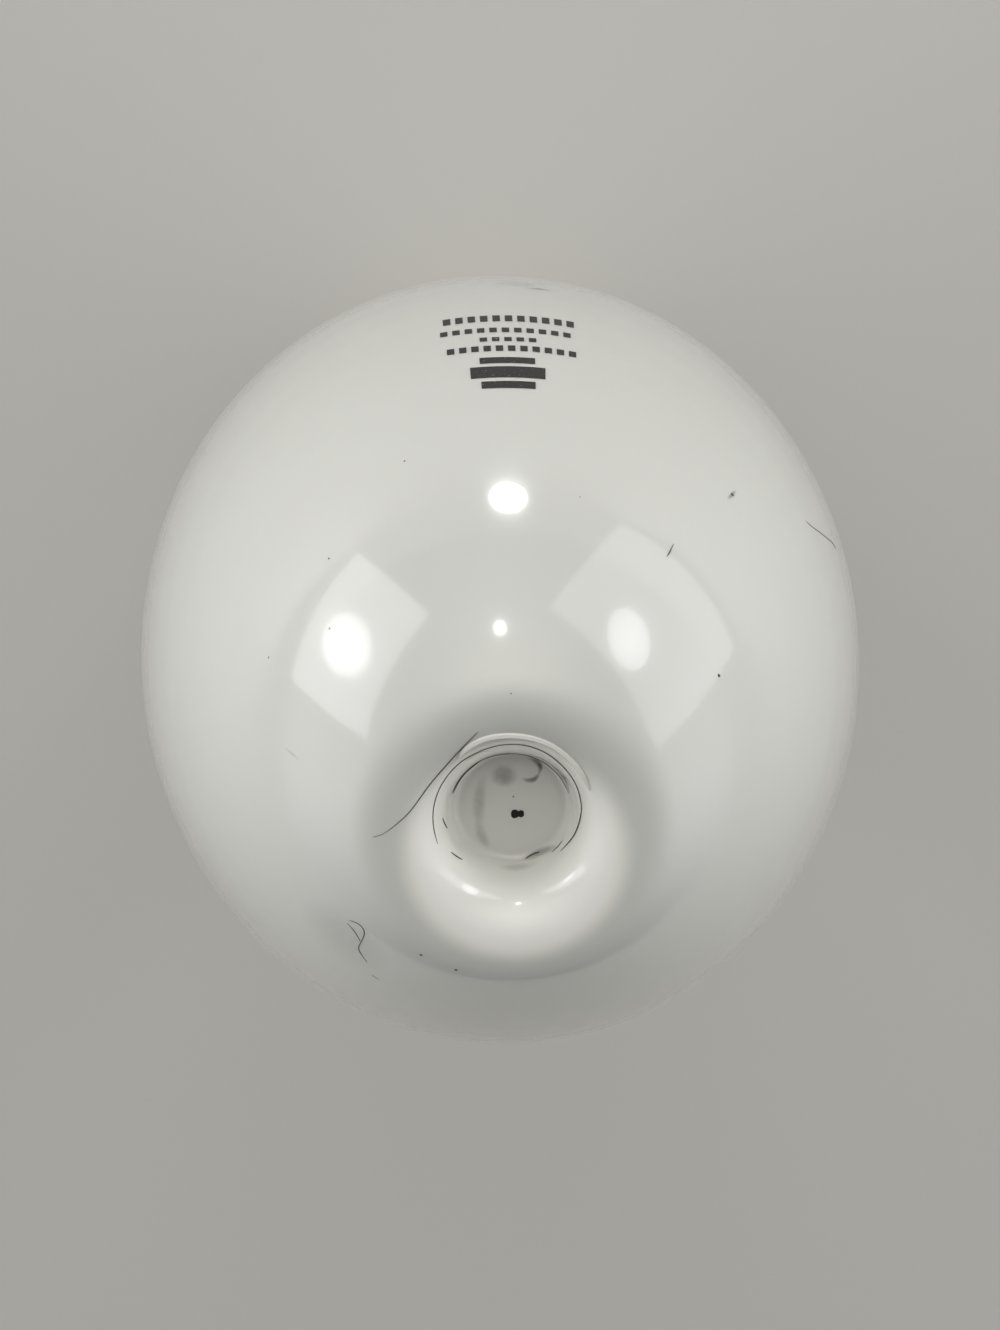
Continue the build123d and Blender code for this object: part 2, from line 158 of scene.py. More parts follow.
def tarnish_effect():
    """Handled metal: cloudy stain, bare metal where it is rubbed, and fine marks that run round the axis."""
    group, given, out = effect(
        "tarnish",
        {
            "Metal": ("Color", (0.7, 0.7, 0.7, 1)),
            "Worn": ("Color", (0.7, 0.6, 0.4, 1)),
            "Stain": ("Color", (0.2, 0.17, 0.13, 1)),
            "Rubbed": ("Float", 0.0),
            "Cloud Scale": ("Float", 120.0),
            "Stain Amount": ("Float", 0.4),
            "Polish": ("Float", 0.25),
        },
        {"Color": "Color", "Roughness": "Float", "Height": "Float"},
    )
    place = node(group, "ShaderNodeTexCoord")
    cloud = node(group, "ShaderNodeTexNoise", {"Detail": 6.0, "Roughness": 0.62})
    grain = node(group, "ShaderNodeTexNoise", {"Scale": 2600.0, "Detail": 3.0})
    apart = node(group, "ShaderNodeSeparateXYZ")
    around = node(group, "ShaderNodeTexGradient", gradient_type="RADIAL")
    reach = node(group, "ShaderNodeVectorMath", operation="LENGTH")
    along = node(group, "ShaderNodeMath", operation="ADD")
    closer = node(group, "ShaderNodeMath", {1: 5200.0}, operation="MULTIPLY")
    longer = node(group, "ShaderNodeMath", {1: 9.0}, operation="MULTIPLY")
    marks_at = node(group, "ShaderNodeCombineXYZ")
    marks = node(group, "ShaderNodeTexNoise", {"Scale": 1.0, "Detail": 2.0})
    clouded = node(group, "ShaderNodeMapRange", {"From Min": 0.42, "From Max": 0.74})
    stained = node(group, "ShaderNodeMath", operation="MULTIPLY")
    rubbing = node(group, "ShaderNodeMath", operation="MULTIPLY")
    bare = node(group, "ShaderNodeMapRange", {"From Min": 0.30, "From Max": 0.62})
    to_worn = node(group, "ShaderNodeMix", data_type="RGBA")
    to_stain = node(group, "ShaderNodeMix", data_type="RGBA")
    dulled = node(group, "ShaderNodeMath", {1: 0.35}, operation="MULTIPLY")
    streaked = node(
        group,
        "ShaderNodeMapRange",
        {"From Min": 0.3, "From Max": 0.7, "To Min": -0.05, "To Max": 0.10},
    )
    duller = node(group, "ShaderNodeMath", operation="ADD")
    rough = node(group, "ShaderNodeMath", operation="ADD", use_clamp=True)
    high = node(group, "ShaderNodeMath", {1: 0.5}, operation="MULTIPLY_ADD")
    join(
        group,
        (place.outputs["Object"], cloud.inputs["Vector"]),
        (given.outputs["Cloud Scale"], cloud.inputs["Scale"]),
        (place.outputs["Object"], grain.inputs["Vector"]),
        (place.outputs["Object"], around.inputs["Vector"]),
        (place.outputs["Object"], apart.inputs["Vector"]),
        (place.outputs["Object"], reach.inputs[0]),
        (apart.outputs["Z"], along.inputs[0]),
        (reach.outputs["Value"], along.inputs[1]),
        (along.outputs["Value"], closer.inputs[0]),
        (around.outputs["Fac"], longer.inputs[0]),
        (longer.outputs["Value"], marks_at.inputs["X"]),
        (closer.outputs["Value"], marks_at.inputs["Y"]),
        (marks_at.outputs["Vector"], marks.inputs["Vector"]),
        (cloud.outputs["Fac"], clouded.inputs["Value"]),
        (clouded.outputs["Result"], stained.inputs[0]),
        (given.outputs["Stain Amount"], stained.inputs[1]),
        (given.outputs["Rubbed"], rubbing.inputs[0]),
        (cloud.outputs["Fac"], rubbing.inputs[1]),
        (rubbing.outputs["Value"], bare.inputs["Value"]),
        (bare.outputs["Result"], to_worn.inputs["Factor"]),
        (given.outputs["Metal"], to_worn.inputs["A"]),
        (given.outputs["Worn"], to_worn.inputs["B"]),
        (stained.outputs["Value"], to_stain.inputs["Factor"]),
        (to_worn.outputs["Result"], to_stain.inputs["A"]),
        (given.outputs["Stain"], to_stain.inputs["B"]),
        (stained.outputs["Value"], dulled.inputs[0]),
        (marks.outputs["Fac"], streaked.inputs["Value"]),
        (given.outputs["Polish"], duller.inputs[0]),
        (dulled.outputs["Value"], duller.inputs[1]),
        (duller.outputs["Value"], rough.inputs[0]),
        (streaked.outputs["Result"], rough.inputs[1]),
        (grain.outputs["Fac"], high.inputs[0]),
        (marks.outputs["Fac"], high.inputs[2]),
        (to_stain.outputs["Result"], out.inputs["Color"]),
        (rough.outputs["Value"], out.inputs["Roughness"]),
        (high.outputs["Value"], out.inputs["Height"]),
    )
    return group


tarnish = tarnish_effect()


def metal(name, relief, rubbed_by=None, **values):
    """A metal finish on the tarnish effect, with fine relief of a depth in millimetres.

    It is rubbed by a plain value, or by an attribute of the mesh that is given by its name.
    """
    material, tree, shader = finish(name, Metallic=1.0)
    worn = node(tree, "ShaderNodeGroup", node_tree=tarnish)
    for key, value in values.items():
        worn.inputs[key.replace("_", " ")].default_value = value
    bump = node(tree, "ShaderNodeBump", {"Strength": 0.35, "Distance": relief * mm})
    join(
        tree,
        (worn.outputs["Color"], shader.inputs["Base Color"]),
        (worn.outputs["Roughness"], shader.inputs["Roughness"]),
        (worn.outputs["Height"], bump.inputs["Height"]),
        (bump.outputs["Normal"], shader.inputs["Normal"]),
    )
    if rubbed_by:
        rubbed = node(tree, "ShaderNodeAttribute", attribute_name=rubbed_by)
        join(tree, (rubbed.outputs["Fac"], worn.inputs["Rubbed"]))
    return material


nickel = metal(
    "nickelled_brass",
    relief=0.02,
    rubbed_by="rubbed",
    Metal=(0.66, 0.63, 0.56, 1),
    Worn=(0.62, 0.46, 0.22, 1),
    Stain=(0.16, 0.13, 0.09, 1),
    Cloud_Scale=140.0,
    Stain_Amount=0.55,
    Polish=0.24,
)

shell_section = profile(
    (foot_opening, shell_foot + 0.05),
    (13.6, shell_foot),
    (foot_flat, shell_foot, (13.9, shell_foot), (16.2, shell_foot)),
    (shell_root, thread_foot, (shell_root, 10.75), (shell_root, 13.05)),
    (shell_root, thread_head, (shell_root, 35.4), (shell_root, 35.95)),
    (collar_radius, collar_foot, (collar_radius, 36.5), (collar_radius, 37.3)),
    (collar_radius, shell_rim - 0.35),
    (collar_radius - 0.1, shell_rim - 0.08),
    (collar_radius - 0.2, shell_rim),
)
thread_rows = [edge for edge in shell_section.edges if edge.calc_length() > longest_row * mm]
bmesh.ops.subdivide_edges(shell_section, edges=thread_rows, cuts=3)
shell = turn(shell_section, steps=160)
rub = shell.verts.layers.float.new("rubbed")
for vert in shell.verts:
    radius, height = hypot(vert.co.x, vert.co.y), vert.co.z / mm
    if thread_foot < height < thread_head:
        turns = (height - first_crest) / thread_pitch - atan2(vert.co.y, vert.co.x) / (2 * pi)
        ridge = thread_depth * (0.5 + 0.5 * cos(2 * pi * turns))
        rise = min(ridge, run_out * (height - thread_foot), run_out * (thread_head - height))
        vert.co.x *= 1 + rise * mm / radius
        vert.co.y *= 1 + rise * mm / radius
        vert[rub] = rise / thread_depth
    elif height > thread_head + 1:
        vert[rub] = collar_rub
base_shell = piece("base_shell_rolled", shell, "nickelled_brass", [nickel], "base_shell")
sheet_wall = base_shell.modifiers.new("sheet_wall", "SOLIDIFY")
sheet_wall.thickness = shell_wall * mm
sheet_wall.offset = -1.0


# Insulator: black glass, poured hot into the foot of the shell, with the contact's eyelet set in it.
# It sets with a glossy skin, a soft edge and a few shallow flow marks.
def smudge_effect():
    """Handled glass: broad wiped smears and fine dust, as masks."""
    group, given, out = effect(
        "smudge",
        {"Smear Scale": ("Float", 40.0), "Dust Scale": ("Float", 900.0)},
        {"Smear": "Float", "Dust": "Float"},
    )
    place = node(group, "ShaderNodeTexCoord")
    wiped = node(group, "ShaderNodeMapping", {"Rotation": (0.3, 0.5, 0.2), "Scale": (1.0, 2.6, 0.7)})
    smear = node(group, "ShaderNodeTexNoise", {"Detail": 5.0, "Roughness": 0.6, "Distortion": 0.6})
    dust = node(group, "ShaderNodeTexNoise", {"Detail": 2.0})
    smear_mask = node(group, "ShaderNodeMapRange", {"From Min": 0.48, "From Max": 0.78})
    dust_mask = node(group, "ShaderNodeMapRange", {"From Min": 0.66, "From Max": 0.78})
    join(
        group,
        (place.outputs["Object"], wiped.inputs["Vector"]),
        (wiped.outputs["Vector"], smear.inputs["Vector"]),
        (given.outputs["Smear Scale"], smear.inputs["Scale"]),
        (place.outputs["Object"], dust.inputs["Vector"]),
        (given.outputs["Dust Scale"], dust.inputs["Scale"]),
        (smear.outputs["Fac"], smear_mask.inputs["Value"]),
        (dust.outputs["Fac"], dust_mask.inputs["Value"]),
        (smear_mask.outputs["Result"], out.inputs["Smear"]),
        (dust_mask.outputs["Result"], out.inputs["Dust"]),
    )
    return group


smudge = smudge_effect()

black_glass, black_tree, black_shader = finish("black_glass", IOR=1.52)
black_smudge = node(
    black_tree, "ShaderNodeGroup", {"Smear Scale": 160.0, "Dust Scale": 1800.0}, node_tree=smudge
)
black_colour = node(black_tree, "ShaderNodeMix", data_type="RGBA")
black_colour.inputs["A"].default_value = (0.010, 0.010, 0.012, 1)
black_colour.inputs["B"].default_value = (0.10, 0.095, 0.085, 1)
black_rough = node(black_tree, "ShaderNodeMapRange", {"To Min": 0.07, "To Max": 0.32})
flow = node(black_tree, "ShaderNodeTexNoise", {"Scale": 260.0, "Detail": 2.0})
black_place = node(black_tree, "ShaderNodeTexCoord")
flow_marks = node(black_tree, "ShaderNodeBump", {"Strength": 0.25, "Distance": 0.15 * mm})
join(
    black_tree,
    (black_smudge.outputs["Dust"], black_colour.inputs["Factor"]),
    (black_colour.outputs["Result"], black_shader.inputs["Base Color"]),
    (black_smudge.outputs["Smear"], black_rough.inputs["Value"]),
    (black_rough.outputs["Result"], black_shader.inputs["Roughness"]),
    (black_place.outputs["Object"], flow.inputs["Vector"]),
    (flow.outputs["Fac"], flow_marks.inputs["Height"]),
    (flow_marks.outputs["Normal"], black_shader.inputs["Normal"]),
)

insulator_face, insulator_top = 2.05, 11.6
insulator_bore, insulator_skirt = 2.0, 13.9
insulator = turn(
    profile(
        (insulator_bore, insulator_face),
        (6.6, insulator_face, (6.5, insulator_face), (7.2, insulator_face)),
        (7.75, 2.5, (7.5, 2.2), (9.2, 4.3)),
        (12.65, 8.75, (11.3, 7.0), (12.7, 8.85)),
        (12.75, 9.4),
        (insulator_skirt, 9.45),
        (insulator_skirt, insulator_top),
        (insulator_bore, insulator_top),
        (insulator_bore, insulator_face),
    ),
    steps=96,
)
piece("insulator_glass", insulator, "dark_glass", [black_glass], "base_insulator")


# Centre contact: a stamped brass eyelet riveted through the insulator, its dish filled with solder.
# The solder wets the end of the lead, sets as a dull lump, and is rubbed flat by the holder's spring.
brass = metal(
    "contact_brass",
    relief=0.015,
    Metal=(0.66, 0.50, 0.24, 1),
    Worn=(0.80, 0.65, 0.36, 1),
    Stain=(0.20, 0.13, 0.06, 1),
    Rubbed=0.6,
    Cloud_Scale=260.0,
    Stain_Amount=0.5,
    Polish=0.22,
)
eyelet_bore, eyelet_rim, eyelet_top = 1.4, 6.5, 5.5
eyelet_back, dish_floor = 2.0, 1.05
contact = turn(
    profile(
        (eyelet_bore, dish_floor),
        (2.35, 0.22, (2.1, 0.45), (2.5, 0.08)),
        (2.95, 0.0, (2.75, 0.0), (3.1, 0.0)),
        (5.6, 0.0, (5.5, 0.0), (6.15, 0.0)),
        (eyelet_rim, 0.9, (eyelet_rim, 0.4), (eyelet_rim, 1.0)),
        (eyelet_rim, 1.75),
        (6.3, eyelet_back),
        (insulator_bore, eyelet_back),
        (insulator_bore, eyelet_top),
        (eyelet_bore, eyelet_top),
        (eyelet_bore, dish_floor),
    ),
    steps=96,
)
piece("contact_eyelet", contact, "contact_brass", [brass], "centre_contact")

tin = metal(
    "solder",
    relief=0.05,
    Metal=(0.50, 0.50, 0.50, 1),
    Worn=(0.70, 0.70, 0.69, 1),
    Stain=(0.20, 0.19, 0.18, 1),
    Rubbed=0.75,
    Cloud_Scale=420.0,
    Stain_Amount=0.6,
    Polish=0.34,
)


def lump(shape, size, depth):
    """Gives a cast surface its uneven skin, with swellings of a size and depth in millimetres."""
    shape.normal_update()
    for vert in shape.verts:
        vert.co += vert.normal * noise.noise(vert.co / (size * mm)) * depth * mm


solder_reach = 2.6
contact_drop = turn(
    profile(
        (0.0, 0.06),
        (1.2, 0.1, (0.6, 0.06), (1.8, 0.14)),
        (2.4, 0.28, (2.2, 0.2), (2.3, 0.4)),
        (eyelet_bore, dish_floor),
        (eyelet_bore, solder_reach),
        (0.0, solder_reach),
    ),
    steps=48,
)
lump(contact_drop, size=0.9, depth=0.05)
piece("contact_solder_drop", contact_drop, "solder", [tin], "contact_solder")


# Rim solder: a drop that joins the second lead to the shell, run over the rim and against the neck.
# It sits where the solid is, so its inner side follows the cone of the neck.
neck_rim, neck_slope = 17.0, 0.1067
drop_radius, drop_gap = 2.0, 0.03
drop_spread = (0.95, 1.15, 0.86)
rim_drop = bmesh.new()
bmesh.ops.create_icosphere(rim_drop, subdivisions=4, radius=drop_radius * mm)
bmesh.ops.scale(rim_drop, vec=drop_spread, verts=rim_drop.verts[:])
lump(rim_drop, size=1.6, depth=0.32)
lump(rim_drop, size=0.6, depth=0.08)
on_rim = Vector((collar_radius - shell_wall / 2, 0, shell_rim)) * mm
bmesh.ops.translate(rim_drop, vec=on_rim, verts=rim_drop.verts[:])
for vert in rim_drop.verts:
    radius = hypot(vert.co.x, vert.co.y)
    neck = (neck_rim + neck_slope * (vert.co.z / mm - shell_rim) + drop_gap) * mm
    if radius < neck:
        vert.co.x *= neck / radius
        vert.co.y *= neck / radius
piece("rim_solder_drop", rim_drop, "solder", [tin], "shell_solder")


# Basing cement: a resin and stone powder paste, baked hard between shell and neck.
# Its top is uneven and shows as a tan ring just inside the collar.
def mottle_effect():
    """Two tones of one material in a cloudy mix."""
    group, given, out = effect(
        "mottle",
        {
            "Dark": ("Color", (0.2, 0.2, 0.2, 1)),
            "Light": ("Color", (0.6, 0.6, 0.6, 1)),
            "Scale": ("Float", 300.0),
            "Detail": ("Float", 3.0),
            "Break": ("Float", 0.5),
        },
        {"Color": "Color"},
    )
    place = node(group, "ShaderNodeTexCoord")
    cloud = node(group, "ShaderNodeTexNoise")
    tone = node(group, "ShaderNodeMix", data_type="RGBA")
    join(
        group,
        (place.outputs["Object"], cloud.inputs["Vector"]),
        (given.outputs["Scale"], cloud.inputs["Scale"]),
        (given.outputs["Detail"], cloud.inputs["Detail"]),
        (given.outputs["Break"], cloud.inputs["Roughness"]),
        (cloud.outputs["Fac"], tone.inputs["Factor"]),
        (given.outputs["Dark"], tone.inputs["A"]),
        (given.outputs["Light"], tone.inputs["B"]),
        (tone.outputs["Result"], out.inputs["Color"]),
    )
    return group


mottle = mottle_effect()


def mottled(tree, shader, dark, light, **values):
    """Colours a material by the mottle effect, between a dark and a light tone."""
    tones = node(tree, "ShaderNodeGroup", {"Dark": dark, "Light": light, **values}, node_tree=mottle)
    join(tree, (tones.outputs["Color"], shader.inputs["Base Color"]))


cement, cement_tree, cement_shader = finish("cement", Roughness=0.9)
cement_dark, cement_light = (0.36, 0.26, 0.15, 1), (0.60, 0.49, 0.33, 1)
mottled(cement_tree, cement_shader, cement_dark, cement_light, Scale=300.0, Detail=6.0, Break=0.7)
cement_place = node(cement_tree, "ShaderNodeTexCoord")
cement_grit = node(cement_tree, "ShaderNodeTexNoise", {"Scale": 2200.0, "Detail": 4.0})
cement_bump = node(cement_tree, "ShaderNodeBump", {"Strength": 0.8, "Distance": 0.2 * mm})
join(
    cement_tree,
    (cement_place.outputs["Object"], cement_grit.inputs["Vector"]),
    (cement_grit.outputs["Fac"], cement_bump.inputs["Height"]),
    (cement_bump.outputs["Normal"], cement_shader.inputs["Normal"]),
)

cement_foot, cement_bore, cement_side = 29.8, 15.75, 17.5
cement_brim, cement_swell, cement_rise = 39.3, 2.2, 0.35
cement_ring = turn(
    profile(
        (cement_bore, cement_foot),
        (16.8, 39.7, (16.75, 39.2), (17.0, 40.2)),
        (18.0, 40.0, (17.5, 40.3), (18.4, 39.8)),
        (18.85, 39.5, (18.7, 39.5), (18.86, 39.4)),
        (18.85, 36.9),
        (cement_side, 35.6),
        (cement_side, cement_foot),
        (cement_bore, cement_foot),
    ),
    steps=144,
)
for vert in cement_ring.verts:
    if vert.co.z > cement_brim * mm:
        vert.co.z += noise.noise(vert.co / (cement_swell * mm)) * cement_rise * mm
piece("cement_ring", cement_ring, "cement", [cement], "basing_cement")


# Stem: a flared tube of clear hard glass, pinched shut round the two leads and fused to the neck.
# The arc tube is clear quartz, pinched flat at both ends. Both keep the shape of their solids.
def clear(name, colour, bend):
    """Clear glass of a colour and a bending power, with a faint haze where it was worked and handled."""
    material, tree, shader = finish(name, Transmission_Weight=1.0, IOR=bend, Base_Color=colour)
    hazed = node(tree, "ShaderNodeGroup", {"Smear Scale": 120.0}, node_tree=smudge)
    haze = node(tree, "ShaderNodeMapRange", {"To Min": 0.0, "To Max": 0.07})
    join(
        tree,
        (hazed.outputs["Smear"], haze.inputs["Value"]),
        (haze.outputs["Result"], shader.inputs["Roughness"]),
    )
    return material


stem_glass = clear("stem_glass", (0.95, 0.965, 0.955, 1), 1.48)
quartz = clear("quartz", (0.975, 0.98, 0.985, 1), 1.46)
cad["stem"].material_slots[0].material = stem_glass
cad["arc_tube"].material_slots[0].material = quartz


# Frame, straps and leads: drawn nickel and nickel-plated iron, spot welded, a little blued by heat.
# The foils are rolled thin, the electrodes sintered dark, and the bead of mercury is a liquid mirror.
wire = metal(
    "frame_steel",
    relief=0.01,
    Metal=(0.60, 0.585, 0.56, 1),
    Worn=(0.66, 0.65, 0.63, 1),
    Stain=(0.26, 0.23, 0.22, 1),
    Cloud_Scale=300.0,
    Stain_Amount=0.5,
    Polish=0.22,
)
lead = metal(
    "lead_wire",
    relief=0.01,
    Metal=(0.55, 0.52, 0.47, 1),
    Worn=(0.6, 0.57, 0.52, 1),
    Stain=(0.25, 0.21, 0.18, 1),
    Cloud_Scale=420.0,
    Stain_Amount=0.5,
    Polish=0.26,
)
foil = metal(
    "foil",
    relief=0.01,
    Metal=(0.50, 0.49, 0.48, 1),
    Worn=(0.55, 0.54, 0.53, 1),
    Stain=(0.28, 0.26, 0.25, 1),
    Cloud_Scale=500.0,
    Stain_Amount=0.4,
    Polish=0.2,
)
tungsten = metal(
    "tungsten",
    relief=0.03,
    Metal=(0.26, 0.26, 0.27, 1),
    Worn=(0.3, 0.3, 0.31, 1),
    Stain=(0.10, 0.10, 0.10, 1),
    Cloud_Scale=900.0,
    Stain_Amount=0.6,
    Polish=0.42,
)
mirror = metal(
    "mercury",
    relief=0.001,
    Metal=(0.80, 0.81, 0.82, 1),
    Worn=(0.8, 0.8, 0.8, 1),
    Stain=(0.6, 0.6, 0.6, 1),
    Cloud_Scale=900.0,
    Stain_Amount=0.1,
    Polish=0.03,
)
for names, material in (
    (("frame_tie", "right_rod", "left_rod", "crosswire"), wire),
    (("stem_strap", "lower_strap", "upper_strap", "dimple_strap"), wire),
    (("shell_lead", "contact_lead", "upper_arc_lead", "lower_arc_lead", "starter_lead"), lead),
    (("resistor_inner_lead", "resistor_outer_lead"), lead),
    (("upper_foil", "lower_foil", "starter_foil"), foil),
    (("upper_electrode", "lower_electrode", "starter_electrode"), tungsten),
    (("mercury_bead",), mirror),
):
    for name in names:
        cad[name].material_slots[0].material = material

ceramic, ceramic_tree, ceramic_shader = finish("resistor_ceramic", Roughness=0.55)
ceramic_dark, ceramic_light = (0.28, 0.17, 0.10, 1), (0.46, 0.32, 0.20, 1)
mottled(ceramic_tree, ceramic_shader, ceramic_dark, ceramic_light, Scale=1200.0, Detail=4.0)
cad["starting_resistor"].material_slots[0].material = ceramic


# Outer bulb: hard glass blown in a mould, with a dimple pressed into its crown that steadies the frame.
# The inner skin is coated white with phosphor. The coat is wiped off the neck, so there the glass is clear.
bulb_radius, dome_height, crown_top = 44.5, 78.0, 211.0
bulb_wall = 1.2
seal_height = 27.0
neck_pull, bulge_pull, straight_pull, floor_pull = 50.0, 38.0, 0.05, 0.3
crest_radius, crown_width, lip_bend = 12.6, 3.7, 6.2
wall_lean, dimple_depth, dimple_corner = radians(76), 7.8, 1.0
coat_foot = 47.0
throat_radius = crest_radius - lip_bend * sin(wall_lean)
throat_height = crown_top - lip_bend * (1 - cos(wall_lean))
dimple_floor = crown_top - dimple_depth
floor_radius = throat_radius - (throat_height - dimple_floor) / tan(wall_lean)
mouth_radius = crest_radius + crown_width
mouth_slope = dome_height * mouth_radius / (bulb_radius * sqrt(bulb_radius**2 - mouth_radius**2))
widest = crown_top - mouth_slope * crown_width / 2 - dome_height * sqrt(1 - (mouth_radius / bulb_radius) ** 2)


def arc_pull(angle):
    """The length of the handles with which a curve follows an arc, for a radius of one."""
    return 4 / 3 * tan(angle / 4)


def eased(before, corner, after, bend):
    """The two points of a curve that round a corner of a profile to a bend's radius."""
    back, on = (before - corner).normalized(), (after - corner).normalized()
    angle = back.angle(on)
    first, last = corner + back * (bend / tan(angle / 2)), corner + on * (bend / tan(angle / 2))
    pull = arc_pull(pi - angle) * bend
    return [
        (*first, first + back * straight_pull, first - back * pull),
        (*last, last - on * pull, last + on * straight_pull),
    ]


def bulb_skin(inset):
    """One skin of the bulb from the seal to the middle of the dimple, moved in from the outside by inset."""
    wide, tall, rim = bulb_radius - inset, dome_height - inset, neck_rim - inset
    top, lip = crown_top - inset, lip_bend - inset
    share = mouth_radius / wide
    steep = sqrt(1 - share**2)
    pull = arc_pull(acos(share))
    lip_pull = arc_pull(wall_lean) * lip
    mouth_height = widest + tall * steep
    meet = mouth_radius - (top - mouth_height) * wide * steep / (tall * share)
    lean = Vector((neck_slope, 1)).normalized() * neck_pull
    low = rim - neck_slope * (shell_rim - seal_height)
    down = Vector((-cos(wall_lean), -sin(wall_lean)))
    throat = Vector((throat_radius, throat_height)) + Vector((-down.y, down.x)) * inset
    foot = Vector((floor_radius + inset * tan(wall_lean / 2), dimple_floor - inset))
    middle = Vector((0, dimple_floor - inset))
    return [
        (low, seal_height),
        (rim, shell_rim, (rim - neck_slope, shell_rim - 1), (rim + lean.x, shell_rim + lean.y)),
        (wide, widest, (wide, widest - bulge_pull), (wide, widest + tall * pull)),
        (
            mouth_radius,
            mouth_height,
            (mouth_radius + wide * steep * pull, mouth_height - tall * share * pull),
            (mouth_radius + (meet - mouth_radius) * 2 / 3, mouth_height + (top - mouth_height) * 2 / 3),
        ),
        (
            crest_radius,
            top,
            (crest_radius + (meet - crest_radius) * 2 / 3, top),
            (crest_radius - lip_pull, top),
        ),
        (*throat, throat - down * lip_pull, throat + down * straight_pull),
        *eased(throat, foot, middle, dimple_corner + inset),
        (*middle, middle + Vector((floor_pull, 0)), middle),
    ]


def mirrored(corners):
    """A profile's corners in the other order, with each corner's handles changed over."""
    return [
        corner if len(corner) == 2 else (*corner[:2], corner[3], corner[2])
        for corner in reversed(corners)
    ]


coated, coat_tree, coat_shader = finish(
    "coated_glass",
    IOR=1.5,
    Specular_IOR_Level=1.0,
    Coat_Weight=1.0,
    Coat_Roughness=0.03,
    Subsurface_Weight=0.5,
    Subsurface_Radius=(1.0, 1.0, 0.95),
    Subsurface_Scale=1.2 * mm,
)
coat_place = node(coat_tree, "ShaderNodeTexCoord")
coat_cloud = node(coat_tree, "ShaderNodeTexNoise", {"Scale": 38.0, "Detail": 4.0, "Roughness": 0.55})
coat_colour = node(coat_tree, "ShaderNodeMix", data_type="RGBA")
coat_colour.inputs["A"].default_value = (0.705, 0.720, 0.691, 1)
coat_colour.inputs["B"].default_value = (0.742, 0.758, 0.735, 1)
# Painted light: a paler white in a ring round the dimple, moved off centre towards its lower lip, stands in
# for the light that brightens the lower lip.
painted_light_drift, painted_light_full, painted_light_edge = 2.4, 9.5, 12.2
painted_light_shift = node(coat_tree, "ShaderNodeMapping", {"Location": (0, painted_light_drift * mm, 0)})
coat_apart = node(coat_tree, "ShaderNodeSeparateXYZ")
coat_flat = node(coat_tree, "ShaderNodeCombineXYZ")
coat_reach = node(coat_tree, "ShaderNodeVectorMath", operation="LENGTH")
painted_light_pool = node(
    coat_tree,
    "ShaderNodeMapRange",
    {"From Min": painted_light_full * mm, "From Max": painted_light_edge * mm, "To Min": 1.0, "To Max": 0.0},
    interpolation_type="SMOOTHSTEP",
)
coat_tone_and_painted_light = node(coat_tree, "ShaderNodeMix", data_type="RGBA")
# Painted light: the pale white of the lit lower lip.
coat_tone_and_painted_light.inputs["B"].default_value = (0.960, 0.965, 0.915, 1)
coat_smudge = node(coat_tree, "ShaderNodeGroup", {"Smear Scale": 34.0}, node_tree=smudge)
coat_rough = node(coat_tree, "ShaderNodeMapRange", {"To Min": 0.15, "To Max": 0.22})
join(
    coat_tree,
    (coat_place.outputs["Object"], coat_cloud.inputs["Vector"]),
    (coat_cloud.outputs["Fac"], coat_colour.inputs["Factor"]),
    (coat_place.outputs["Object"], painted_light_shift.inputs["Vector"]),
    (painted_light_shift.outputs["Vector"], coat_apart.inputs["Vector"]),
    (coat_apart.outputs["X"], coat_flat.inputs["X"]),
    (coat_apart.outputs["Y"], coat_flat.inputs["Y"]),
    (coat_flat.outputs["Vector"], coat_reach.inputs[0]),
    (coat_reach.outputs["Value"], painted_light_pool.inputs["Value"]),
    (painted_light_pool.outputs["Result"], coat_tone_and_painted_light.inputs["Factor"]),
    (coat_colour.outputs["Result"], coat_tone_and_painted_light.inputs["A"]),
    (coat_tone_and_painted_light.outputs["Result"], coat_shader.inputs["Base Color"]),
    (coat_smudge.outputs["Smear"], coat_rough.inputs["Value"]),
    (coat_rough.outputs["Result"], coat_shader.inputs["Roughness"]),
)
bare_glass = clear("bare_glass", (0.94, 0.95, 0.93, 1), 1.5)

bulb = turn(profile(*mirrored(bulb_skin(0)), *bulb_skin(bulb_wall)), steps=192)
for face in bulb.faces:
    face.material_index = 1 if face.calc_center_median().z < coat_foot * mm else 0
glass_surface = BVHTree.FromBMesh(bulb)
piece("bulb_envelope", bulb, "coated_glass", [coated, bare_glass], "outer_bulb")


# Camera: it looks down on the crown, a little from the back, with the base hidden behind the bulge.
# Marks on the glass are placed through it, by their pixels in a frame of 1000 by 1330.
tilt, roll = radians(16.37), radians(4.48)
view_distance, focal_pixels = 0.300, 2341.0
frame_width, frame_height = 1000, 1330
slide_right, slide_up = -0.00025, 0.00439
film_width = 36.0
level_right = Vector((1, 0, 0))
level_up = Vector((0, cos(tilt), -sin(tilt)))
camera_back = level_right.cross(level_up)
camera_right = level_right * cos(roll) - level_up * sin(roll)
camera_up = camera_back.cross(camera_right)
view_middle = Vector((0, 0, widest * mm)) - camera_right * slide_right - camera_up * slide_up
camera_place = view_middle + camera_back * view_distance
lens = bpy.data.cameras.new("camera")
lens.sensor_width = film_width
lens.lens = focal_pixels * film_width / frame_height
lens.clip_start = 0.01
camera = bpy.data.objects.new("camera", lens)
turned_to = Matrix((camera_right, camera_up, camera_back)).transposed()
camera.matrix_world = Matrix.Translation(camera_place) @ turned_to.to_4x4()
bpy.context.scene.collection.objects.link(camera)
bpy.context.scene.camera = camera


